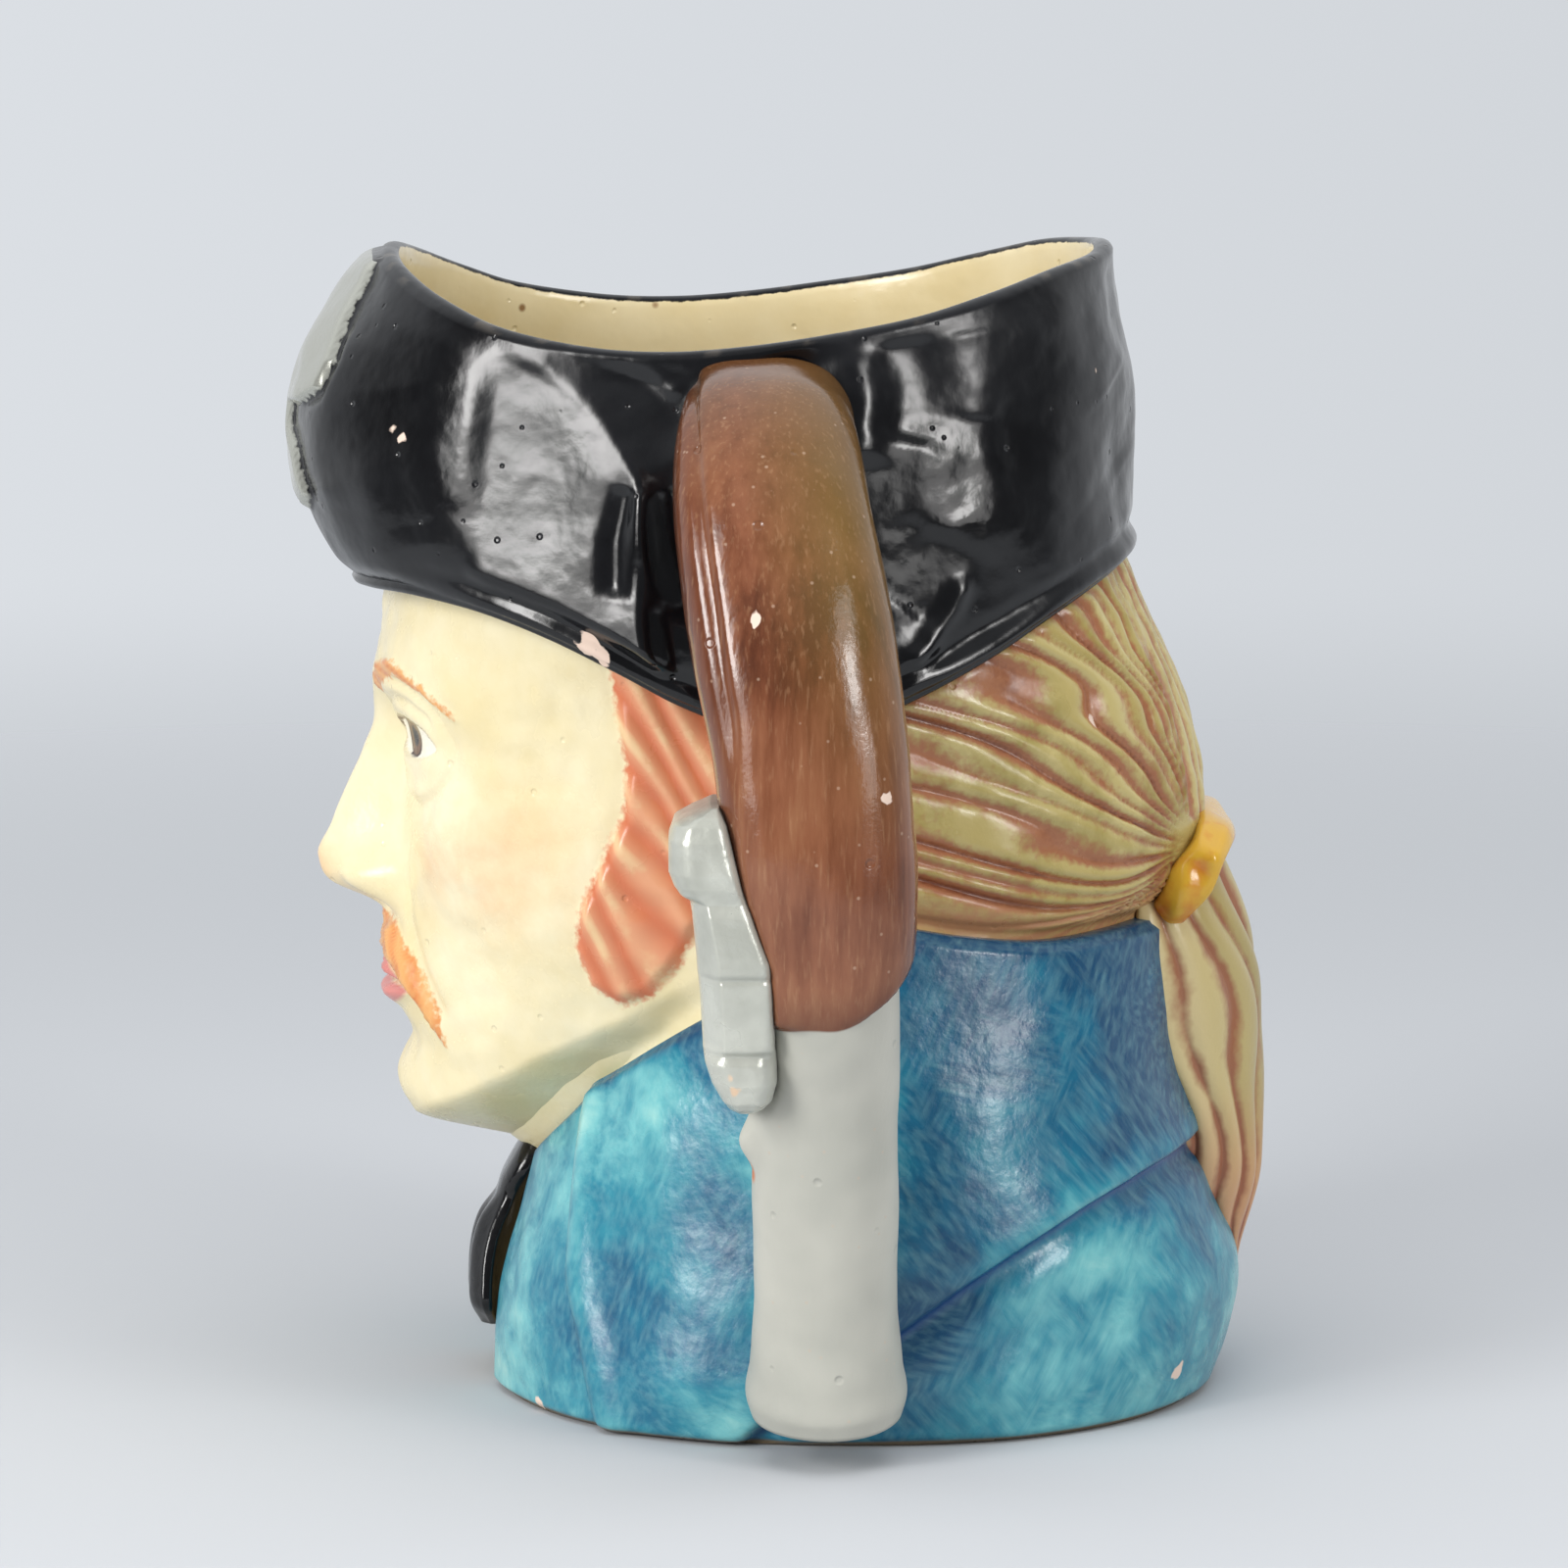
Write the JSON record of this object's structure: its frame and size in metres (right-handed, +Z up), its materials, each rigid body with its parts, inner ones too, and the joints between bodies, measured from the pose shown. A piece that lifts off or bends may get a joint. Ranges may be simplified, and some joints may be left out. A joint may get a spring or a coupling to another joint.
{
  "type": "toby jug",
  "caption": "Glazed earthenware character jug: head of a seafarer in a black tricorn hat, with a flintlock pistol as handle",
  "frame": {"origin": "the middle of the flat underside, at the height of the table", "axes": "+Z up through the open mouth; the face looks along -Y; the pistol handle is on the +X side, which is the figure's left"},
  "size_m": [0.1591, 0.1543, 0.18],
  "materials": {
    "glazed_earthenware": "gloss"
  },
  "bodies": {
    "root": {"jug": "glazed_earthenware"}
  },
  "joints": []
}
